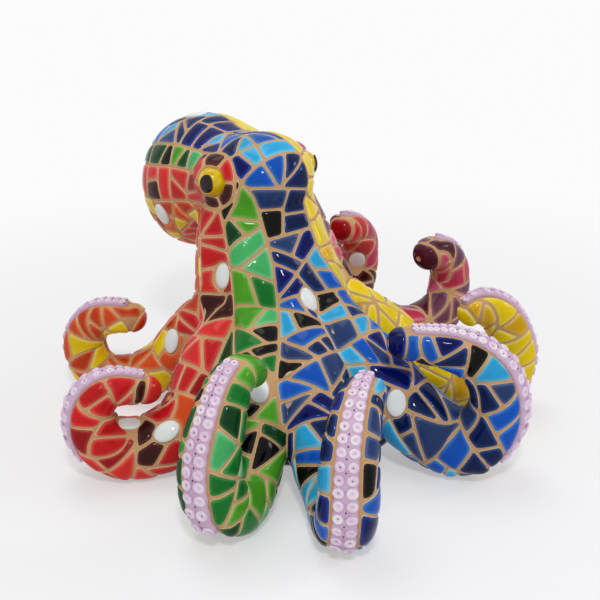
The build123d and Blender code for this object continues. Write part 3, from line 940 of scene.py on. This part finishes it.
def cement_grout(name, dark, light):
    """Sanded cement grout: matte, grainy, paler where it was wiped."""
    material, tree, shader = finish(name, Roughness=0.85)
    where = node(tree, "ShaderNodeTexCoord").outputs["Object"]
    cloud = node(tree, "ShaderNodeTexNoise", Vector=where, Scale=per_metre(9), Detail=5.0)
    colour = node(tree, "ShaderNodeMix", {"data_type": "RGBA"}, Factor=cloud.outputs["Fac"],
                  in_6=linear(dark), in_7=linear(light))
    tree.links.new(colour.outputs[2], shader.inputs["Base Color"])
    # Real grit of 0.1 mm is too fine to show, so it is drawn at 0.6 mm
    grit = node(tree, "ShaderNodeTexNoise", Vector=where, Scale=per_metre(0.6), Detail=2.0)
    uneven(tree, shader, 0.5, 0.0002, grit)
    return material


def painted_resin(name, deep, body, wash):
    """Cast resin painted lilac with patches of white wash; its colour is paler up each sucker
    towards the rim and deeper low down, on the band and at the suckers' feet.
    """
    material, tree, shader = finish(name, Roughness=0.5, Subsurface_Weight=0.0)
    where = node(tree, "ShaderNodeTexCoord").outputs["Object"]
    rim = node(tree, "ShaderNodeAttribute", {"attribute_name": "rim"}).outputs["Fac"]
    cloud = node(tree, "ShaderNodeTexNoise", Vector=where, Scale=per_metre(6), Detail=4.0)
    high = node(tree, "ShaderNodeMapRange", Value=cloud.outputs["Fac"], From_Min=0.35,
                From_Max=0.7)
    washed = node(tree, "ShaderNodeMix", {"data_type": "RGBA"}, Factor=high.outputs[0],
                  in_6=linear(body), in_7=linear(wash))
    hollow = node(tree, "ShaderNodeMix", {"data_type": "RGBA"}, Factor=rim, in_6=linear(deep),
                  in_7=washed.outputs[2])
    tree.links.new(hollow.outputs[2], shader.inputs["Base Color"])
    uneven(tree, shader, 0.3, 0.0003, cloud)
    return material


def brushed_enamel(name, colour, shade):
    """Enamel laid on with a small brush: a glossy, slightly uneven film of varied depth."""
    material, tree, shader = finish(name, Roughness=0.1, IOR=1.5, Specular_IOR_Level=0.3)
    where = node(tree, "ShaderNodeTexCoord").outputs["Object"]
    film = node(tree, "ShaderNodeTexNoise", Vector=where, Scale=per_metre(3), Detail=3.0)
    depth = node(tree, "ShaderNodeMapRange", Value=film.outputs["Fac"], From_Min=0.35,
                 From_Max=0.7)
    colours = node(tree, "ShaderNodeMix", {"data_type": "RGBA"}, Factor=depth.outputs[0],
                   in_6=linear(colour), in_7=linear(shade))
    tree.links.new(colours.outputs[2], shader.inputs["Base Color"])
    uneven(tree, shader, 0.25, 0.00015, film)
    return material


GLAZES = {
    "burnt_orange": ("D24A18", "E8824E"), "deep_orange": ("C03A12", "DC7444"),
    "sun_yellow": ("E6C600", "F0DC5A"), "honey_yellow": ("D6A300", "E8C455"),
    "signal_red": ("C41A1C", "DE5A50"), "scarlet": ("D42A26", "E66A5C"),
    "ox_blood": ("960C10", "BC4440"), "coffee_brown": ("381210", "6A3A30"),
    "bottle_green": ("083C18", "2C6A3C"), "leaf_green": ("106E24", "48984C"),
    "lime_green": ("48981E", "86BC5A"), "mint_green": ("44AE62", "8ACC98"),
    "glossy_black": ("060504", "2A2622"), "navy_blue": ("081B4A", "2E4A84"),
    "ink_blue": ("060E54", "2444A0"), "cobalt_blue": ("0A50B4", "4A84CC"),
    "sky_blue": ("2AA2D6", "7AC6E2"), "slate_blue": ("243A68", "5A6C96"),
    "maroon": ("481422", "784050"), "crimson": ("BC3456", "D87488"),
    "mauve": ("70405A", "9C7488"), "rose_pink": ("D05C78", "E29AA8"),
}
GLAZE_NUMBERS = {name: index + 1 for index, name in enumerate(GLAZES)}

ORANGES = {"burnt_orange": 6, "deep_orange": 3, "sun_yellow": 2, "signal_red": 1}
REDS = {"signal_red": 5, "scarlet": 3, "ox_blood": 2, "coffee_brown": 3}
GREENS = {"bottle_green": 5, "leaf_green": 4, "lime_green": 3, "mint_green": 2,
          "glossy_black": 2}
BLUES = {"navy_blue": 6, "ink_blue": 3, "cobalt_blue": 4, "slate_blue": 1.5, "sky_blue": 3,
         "glossy_black": 1.5}
YELLOWS = {"sun_yellow": 7, "honey_yellow": 2}
CRIMSONS = {"crimson": 5, "mauve": 3, "rose_pink": 2, "maroon": 1.5}
ROSES = {"signal_red": 4, "crimson": 3, "maroon": 2, "coffee_brown": 2, "rose_pink": 1,
         "glossy_black": 0.7}
BODY_PALETTES = {"orange": ORANGES, "red": REDS, "green": GREENS, "blue": BLUES,
                 "yellow": YELLOWS, "crimson": CRIMSONS, "rose": ROSES}
ARM_PALETTES = {
    "rear_left_arm": ({"burnt_orange": 5, "deep_orange": 4, "sun_yellow": 3}, "deep_orange"),
    "left_arm": ({"signal_red": 5, "scarlet": 3, "coffee_brown": 2, "ox_blood": 2,
                  "burnt_orange": 1}, "scarlet"),
    "front_outer_left_arm": (GREENS, "lime_green"),
    "front_inner_left_arm": (BLUES, "cobalt_blue"),
    "front_inner_right_arm": (BLUES, "ink_blue"),
    "front_outer_right_arm": (YELLOWS, "sun_yellow"),
    "right_arm": (CRIMSONS, "maroon"),
    "rear_right_arm": (ROSES, "ox_blood")}
EYE_PALETTES = {"left": REDS, "right": CRIMSONS}


def palette(weights):
    """Names and weights of a palette, as a draw takes them."""
    return list(weights), list(weights.values())


# Sucker strips
SUCKER_PROFILE = ((1.00, -0.35), (1.04, 0.30), (1.02, 0.70), (0.90, 0.96), (0.68, 1.0),
                  (0.46, 0.82), (0.24, 0.70), (0.12, 0.50), (0.0, 0.50))
BAND_PROFILE = ((-0.90, -0.9), (-1.0, 0.5), (-0.95, 1.5), (-0.60, 2.0), (0.0, 1.8),
                (0.60, 2.0), (0.95, 1.5), (1.0, 0.5), (0.90, -0.9))
sucker_sides = 14
pin_radius, cup_pin_radius = 0.42, 0.26
cup_pin_share = 0.5          # share of the suckers with a pin hole in the middle
cup_floor = 0.52             # height of a sucker's floor, as a share of the sucker's
band_top = 1.85


def strip_ends(name):
    """Distances from the joint at which an arm's strip starts and ends."""
    stops = ARMS[name].strip_stops()
    return stops[-1], stops[0] - SHORT_STRIPS.get(name, 0.0)


def shown_stops(name):
    """Distances along an arm of the joints between pairs of suckers."""
    arm = ARMS[name]
    first, distance = strip_ends(name)
    stops = []
    while distance > first:
        stops.append(distance)
        distance -= shown_pitch * arm.frame(arm.place_at(distance))[1] / arm_girth
    return stops[::-1]


def sucker_cup():
    """One sucker of full girth, standing at the origin: a ring with a dimple."""
    bm = bmesh.new()
    rim = bm.verts.layers.float.new("rim")
    verts = [bm.verts.new((share * shown_radius, 0, height * sucker_height))
             for share, height in SUCKER_PROFILE]
    edges = [bm.edges.new(pair) for pair in zip(verts, verts[1:])]
    for vert, (share, height) in zip(verts, SUCKER_PROFILE):
        # How high up the sucker a point lies: the lilac is deeper low down and paler towards the
        # top.
        vert[rim] = min(1.0, max(0.0, height)) ** 0.9
    bmesh.ops.spin(bm, geom=verts + edges, cent=(0, 0, 0), axis=(0, 0, 1),
                   angle=2 * math.pi, steps=sucker_sides, use_merge=True)
    bmesh.ops.remove_doubles(bm, verts=bm.verts, dist=0.01)
    bmesh.ops.holes_fill(bm, edges=[edge for edge in bm.edges if edge.is_boundary], sides=0)
    bmesh.ops.recalc_face_normals(bm, faces=bm.faces)
    return mesh_of("sucker_cup", bm)


def strip_spot(arm, distance):
    """Frame on an arm's seat: its middle, direction, seat side, left side and size."""
    middle, radius, along, seat, left = arm.frame(arm.place_at(distance))
    return middle + seat * radius * seat_depth_share, along, seat, left, radius / arm_girth


def sucker_band(bm, arm, stops):
    """The band that carries the suckers, drawn along the seat with scalloped edges."""
    steps = 4
    count = (len(stops) - 1) * steps
    ring = None
    rim = bm.verts.layers.float["rim"]
    for index in range(count + 1):
        distance = np.interp(index / steps, range(len(stops)), stops)
        foot, along, seat, left, size = strip_spot(arm, distance)
        scallop = 1 - 0.06 * math.cos(2 * math.pi * index / steps)
        end = min(index, count - index) / steps
        half = shown_width / 2 * size * scallop * min(1.0, 0.72 + end)
        places = [foot + left * x * half + seat * z * (1 if z < 0 else min(1.0, 0.6 + end))
                  for x, z in BAND_PROFILE]
        if ring is None:
            verts = [bm.verts.new(place) for place in places]
            ring = [bm.edges.new((a, b)) for a, b in zip(verts, verts[1:] + verts[:1])]
            bmesh.ops.contextual_create(bm, geom=ring)
        else:
            made = bmesh.ops.extrude_edge_only(bm, edges=ring)["geom"]
            ring = [part for part in made if isinstance(part, bmesh.types.BMEdge)
                    and all(vert in made for vert in part.verts)]
            verts = [part for part in made if isinstance(part, bmesh.types.BMVert)]
            for vert, place in zip(verts, places):
                vert.co = place
        for vert in verts:
            vert[rim] = 0.2
    bmesh.ops.contextual_create(bm, geom=ring)


def sucker_strip(name, cup, rng):
    """A strip with two rows of suckers, and small dark spheres in some of them and between them:
    painted shade that stands for pin holes.
    """
    arm = ARMS[name]
    stops = shown_stops(name)
    bm = bmesh.new()
    bm.verts.layers.float.new("rim")
    sucker_band(bm, arm, stops)
    bmesh.ops.recalc_face_normals(bm, faces=bm.faces)
    holes = []
    for before, after in zip(stops, stops[1:]):
        foot, along, seat, left, size = strip_spot(arm, (before + after) / 2)
        for row in (-1, 1):
            count = len(bm.verts)
            bm.from_mesh(cup)
            bm.verts.ensure_lookup_table()
            lean = (seat + left * row * 0.2 + along * rng.uniform(-0.1, 0.1)).normalized()
            turn = lean.to_track_quat("Z", "Y").to_matrix().to_4x4()
            beside = row * shown_gauge / 2 * size * rng.uniform(0.95, 1.05)
            middle = foot + seat * band_top * 0.8 + left * beside
            oval = Matrix.Diagonal((size * rng.uniform(0.96, 1.08), size * rng.uniform(0.92, 1.04),
                                    size * rng.uniform(0.95, 1.1), 1))
            bmesh.ops.transform(bm, matrix=Matrix.Translation(middle) @ turn @ oval,
                                verts=bm.verts[count:])
            if rng.random() < cup_pin_share:
                holes.append((middle + lean * sucker_height * cup_floor * size, cup_pin_radius))
    for distance in stops[1:-1]:
        foot, along, seat, left, size = strip_spot(arm, distance + rng.uniform(-0.3, 0.3))
        if rng.random() < 0.7:
            place = foot + seat * band_top + left * rng.uniform(-0.3, 0.3)
            holes.append((place, pin_radius * (0.5 + 0.5 * size)))
    # Painted shade: each pin hole is drawn as a small dark sphere whose colour stands for the
    # shade inside the hole.
    pins = []
    for place, radius in holes:
        made = bmesh.ops.create_uvsphere(bm, u_segments=6, v_segments=4, radius=radius,
                                         matrix=Matrix.Translation(place))
        pins += made["verts"]
    for face in {face for vert in pins for face in vert.link_faces}:
        face.material_index = 1
    return bm


def oval_stone(middle, axes, sizes):
    """A glazed oval, domed, with a soft shoulder."""
    bm = bmesh.new()
    turn = Matrix([list(axis) for axis in axes]).transposed().to_4x4()
    bmesh.ops.create_uvsphere(bm, u_segments=32, v_segments=16, radius=1)
    for vert in bm.verts:
        x, y, z = vert.co
        dome = abs(z) ** 0.8
        vert.co = Vector((x * sizes[0], y * sizes[1], dome * 1.35 if z > 0 else -dome * 1.1))
    bmesh.ops.transform(bm, matrix=Matrix.Translation(middle) @ turn, verts=bm.verts)
    bmesh.ops.recalc_face_normals(bm, faces=bm.faces)
    return bm


def join(pieces):
    """Several shapes as one."""
    whole = bmesh.new()
    for bm in pieces:
        mesh = mesh_of("part", bm)
        whole.from_mesh(mesh)
        bpy.data.meshes.remove(mesh)
    return whole


# Stage and camera, in metres
camera_azimuth, camera_elevation, camera_distance = -37.0, 23.0, 0.44
aim = Vector((0.0, 0.010, 0.048))


def make_camera():
    """The photograph's viewpoint."""
    turn, rise = math.radians(camera_azimuth), math.radians(camera_elevation)
    back = Vector((math.sin(turn) * math.cos(rise), -math.cos(turn) * math.cos(rise),
                   math.sin(rise)))
    data = bpy.data.cameras.new("camera")
    data.lens, data.sensor_width = 63, 36
    data.shift_x, data.shift_y = -0.0033, 0.0367
    camera = in_scene("camera", data)
    camera.location = aim + back * camera_distance
    camera.rotation_mode = "QUATERNION"
    camera.rotation_quaternion = (-back).to_track_quat("-Z", "Y")
    data.clip_start, data.clip_end = 0.01, 20
    bpy.context.scene.camera = camera


def lamp(name, place, size, power):
    """A softbox that faces the figurine."""
    data = bpy.data.lights.new(name, "AREA")
    data.shape, data.size, data.energy = "SQUARE", size, power
    light = in_scene(name, data)
    light.location = place
    light.rotation_mode = "QUATERNION"
    light.rotation_quaternion = (aim - Vector(place)).to_track_quat("-Z", "Y")


def seen(tree):
    """One for the camera, mirrors and glass, nought for light that falls on the object."""
    path = node(tree, "ShaderNodeLightPath")
    either = node(tree, "ShaderNodeMath", {"operation": "MAXIMUM"},
                  in_0=path.outputs["Is Camera Ray"], in_1=path.outputs["Is Glossy Ray"])
    both = node(tree, "ShaderNodeMath", {"operation": "MAXIMUM"}, in_0=either.outputs[0],
                in_1=path.outputs["Is Transmission Ray"])
    return both.outputs[0]


def make_world():
    """Pale surroundings that light the object gently and look white."""
    world = bpy.data.worlds.new("studio")
    bpy.context.scene.world = world
    world.use_nodes = True
    tree = world.node_tree
    background = tree.nodes["Background"]
    background.inputs["Color"].default_value = linear("FBFBFC")
    strength = node(tree, "ShaderNodeMapRange", Value=seen(tree), To_Min=0.48, To_Max=1.0)
    tree.links.new(strength.outputs[0], background.inputs["Strength"])


def make_floor():
    """White floor that keeps the shadow near the object and fades into the backdrop."""
    bm = bmesh.new()
    bmesh.ops.create_circle(bm, cap_ends=True, segments=96, radius=4)
    mesh = mesh_of("floor", bm)
    floor = in_scene("floor", mesh)
    material, tree, shader = finish("matte_white_paper", Roughness=0.9,
                                    Base_Color=linear("F4F4F6"))
    where = node(tree, "ShaderNodeTexCoord").outputs["Object"]
    away = node(tree, "ShaderNodeVectorMath", {"operation": "LENGTH"}, in_0=where)
    fade = node(tree, "ShaderNodeMapRange", {"interpolation_type": "SMOOTHSTEP"},
                Value=away.outputs["Value"], From_Min=0.12, From_Max=0.42, To_Min=0.4)
    blend = node(tree, "ShaderNodeMath", {"operation": "MULTIPLY"}, in_0=fade.outputs[0],
                 in_1=seen(tree))
    white = node(tree, "ShaderNodeEmission", Color=linear("FBFBFC"), Strength=1.0)
    mixed = node(tree, "ShaderNodeMixShader", in_0=blend.outputs[0],
                 in_1=shader.outputs["BSDF"], in_2=white.outputs["Emission"])
    tree.links.new(mixed.outputs[0], tree.nodes["Material Output"].inputs["Surface"])
    mesh.materials.append(material)


def make_tiles(skin, source):
    """All the tile work, one piece for each arm, each colour zone and each eye."""
    rng = random.Random(11)
    total = 0
    for index, name in enumerate(ARMS):
        weights, tip = ARM_PALETTES[name]
        palettes = {"arm": palette(weights), "tip": ([tip], [1])}
        tiles, count = lay_tiles(skin, source, arm_cells(skin, index, name, rng), palettes, rng)
        new_piece(name + "_tiles", tiles, TILE_MATERIALS)
        total += count
    for zone, name in enumerate(ZONES):
        palettes = {"body": palette(BODY_PALETTES[name])}
        tiles, count = lay_tiles(skin, source, body_cells(skin, zone, rng), palettes, rng)
        new_piece("body_" + name + "_tiles", tiles, TILE_MATERIALS)
        total += count
    for word in ("left", "right"):
        palettes = {"ring": palette(EYE_PALETTES[word])}
        tiles, count = lay_tiles(skin, source, eye_cells(skin, word, rng), palettes, rng)
        new_piece(word + "_eye_ring_tiles", tiles, TILE_MATERIALS)
        total += count
    print("tiles laid:", total)


def grout_pieces(skin, source):
    """The grout skin, one piece for the body and one for each arm."""
    arm_faces = {}
    owner = skin.arm_of[skin.faces].max(axis=1)
    for index, name in enumerate(ARMS):
        beyond = (skin.arm_reach[name][skin.faces] > 0).all(axis=1)
        arm_faces[name] = set(np.nonzero((owner == index) & beyond)[0].tolist())
    taken = set().union(*arm_faces.values())
    arm_faces["body_casting"] = set(range(len(skin.faces))) - taken
    for name, wanted in arm_faces.items():
        part = patch_of(source, wanted)
        keep_largest(part)
        rim = [edge for edge in part.edges if edge.is_boundary]
        bmesh.ops.holes_fill(part, edges=rim, sides=0)
        title = "body_grout" if name == "body_casting" else name + "_grout"
        new_piece(title, part, [GROUT], [name])


bpy.context.scene.view_settings.view_transform = "Standard"
make_camera()
make_world()
lamp("key_softbox", (-0.35, -0.50, 0.75), 0.10, 2.9)
lamp("fill_softbox", (0.70, -0.35, 0.45), 0.20, 1.0)
lamp("top_softbox", (0.0, 0.25, 0.85), 0.40, 1.6)
make_floor()

GROUT = cement_grout("sanded_tan_grout", "B98A5A", "CFA877")
# Paler grout on every tile's walls, back and lowest band of its rim, which draws a pale line round
# each tile.
PALE_GROUT = cement_grout("pale_tile_wall_grout", "CBA880", "DEC39A")
TILE_MATERIALS = [PALE_GROUT] + [glazed_ceramic(name + "_glaze", *colours)
                                 for name, colours in GLAZES.items()]
WHITE_GLAZE = glazed_ceramic("milky_white_glaze", "D6E2E0", "E6ECEA")
LILAC = painted_resin("washed_lilac_resin", "C6A4C2", "E0C4DC", "F0E6EE")
# Painted shade: the dark colour of the pin-hole spheres stands for the shade inside the holes.
PIN_HOLE_SHADE = finish("pin_hole_painted_shade", Roughness=0.8, Base_Color=linear("3A2030"))[0]
YELLOW_EYE = brushed_enamel("yellow_eye_enamel", "E6C800", "CFA400")
BLACK_EYE = brushed_enamel("black_pupil_enamel", "0C0608", "2A1218")

form = grout_form()
skin = Skin(form)
source = numbered(form)
make_tiles(skin, source)
grout_pieces(skin, source)
source.free()
cup = sucker_cup()
for name in ARMS:
    strip = sucker_strip(name, cup, random.Random(len(name)))
    new_piece(name + "_suckers", strip, [LILAC, PIN_HOLE_SHADE], [name + "_sucker_strip"])
stones = join([oval_stone(*place) for place in stone_places()])
new_piece("milky_oval_stones", stones, [WHITE_GLAZE], ["oval_stones"])
for word in ("left", "right"):
    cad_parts[word + "_eyeball"].material_slots[0].material = YELLOW_EYE
    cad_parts[word + "_pupil"].material_slots[0].material = BLACK_EYE
